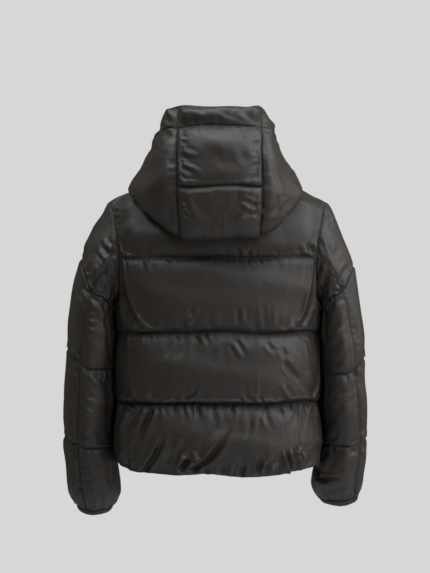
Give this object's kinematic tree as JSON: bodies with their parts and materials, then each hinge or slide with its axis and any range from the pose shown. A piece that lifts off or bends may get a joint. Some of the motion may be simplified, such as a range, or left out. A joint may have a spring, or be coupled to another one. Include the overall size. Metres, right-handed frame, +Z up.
{
  "type": "puffer jacket",
  "caption": "Cropped hooded puffer jacket in its worn shape, hollow, with quilted body and sleeves, hood lying down the back and a closed front zip.",
  "frame": {"origin": "middle of the neck opening, level with the high points of the shoulders, where the wearer holds the jacket", "axes": "+Z up from the hem to the neck, -Y out of the front with its zip, +Y out of the back with the hood, +X to the wearer's left sleeve"},
  "size_m": [0.6551, 0.3762, 0.8656],
  "materials": {
    "shell": "glossy coated nylon, charcoal black",
    "zip_tape": "woven, matte",
    "zip_metal": "gunmetal"
  },
  "bodies": {
    "jacket": {"back_yoke": "shell", "back_chest": "shell", "back_waist": "shell", "back_hem": "shell", "front_left_yoke": "shell", "front_left_chest": "shell", "front_left_waist": "shell", "front_left_hem": "shell", "front_right_yoke": "shell", "front_right_chest": "shell", "front_right_waist": "shell", "front_right_hem": "shell", "sleeve_left_upper_shoulder": "shell", "sleeve_left_upper_elbow": "shell", "sleeve_left_upper_forearm": "shell", "sleeve_left_upper_wrist": "shell", "sleeve_left_under_shoulder": "shell", "sleeve_left_under_elbow": "shell", "sleeve_left_under_forearm": "shell", "sleeve_left_under_wrist": "shell", "cuff_left": "shell", "sleeve_right_upper_shoulder": "shell", "sleeve_right_upper_elbow": "shell", "sleeve_right_upper_forearm": "shell", "sleeve_right_upper_wrist": "shell", "sleeve_right_under_shoulder": "shell", "sleeve_right_under_elbow": "shell", "sleeve_right_under_forearm": "shell", "sleeve_right_under_wrist": "shell", "cuff_right": "shell", "hood_centre_under": "shell", "hood_centre_lower": "shell", "hood_centre_upper": "shell", "hood_side_left": "shell", "hood_side_right": "shell", "hood_band_back": "shell", "hood_band_left": "shell", "hood_band_right": "shell", "zip_tape_left": "zip_tape", "zip_tape_right": "zip_tape", "zip_chain": "zip_metal", "zip_bottom_box": "zip_metal", "zip_slider": "zip_metal", "zip_top_stop_left": "zip_metal", "zip_top_stop_right": "zip_metal"},
    "zip_pull": {"zip_pull": "zip_metal"}
  },
  "joints": [
    {"name": "pull_swing", "type": "hinge", "parent": "jacket", "child": "zip_pull", "pos_m": [0, -0.11553, 0.05204], "axis": [-1, 0, 0], "range_deg": [0, 150]}
  ]
}
